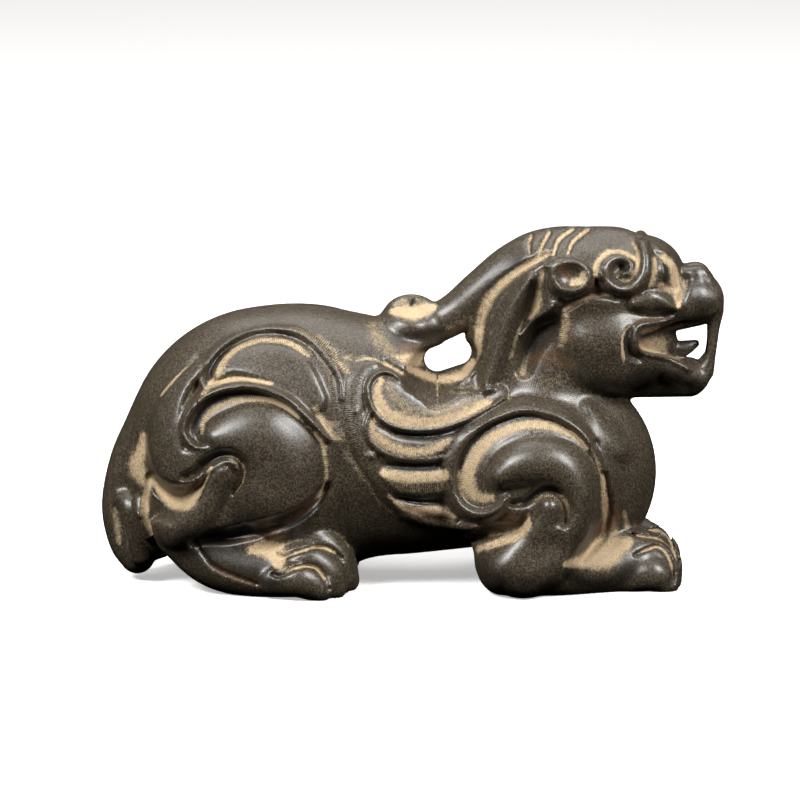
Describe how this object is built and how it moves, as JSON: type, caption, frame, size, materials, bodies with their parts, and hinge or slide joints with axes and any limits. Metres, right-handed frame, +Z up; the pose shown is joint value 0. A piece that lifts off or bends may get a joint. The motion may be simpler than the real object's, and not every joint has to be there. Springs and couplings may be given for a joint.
{
  "type": "carved stone beast figure",
  "caption": "Recumbent winged lion-like beast carved from one block of dark stone, head raised and mouth open, with a crest that curls onto its back.",
  "frame": {"origin": "middle of the bounding box's bottom face, on the surface that the soles rest on", "axes": "+X towards the head, +Y to the beast's left, +Z up"},
  "size_m": [0.1248, 0.0496, 0.0718],
  "materials": {
    "stone": "dark grey-brown stone with a waxed polish, and pale ochre patina left in the grooves and recesses"
  },
  "bodies": {
    "root": {"beast": "stone"}
  },
  "joints": []
}
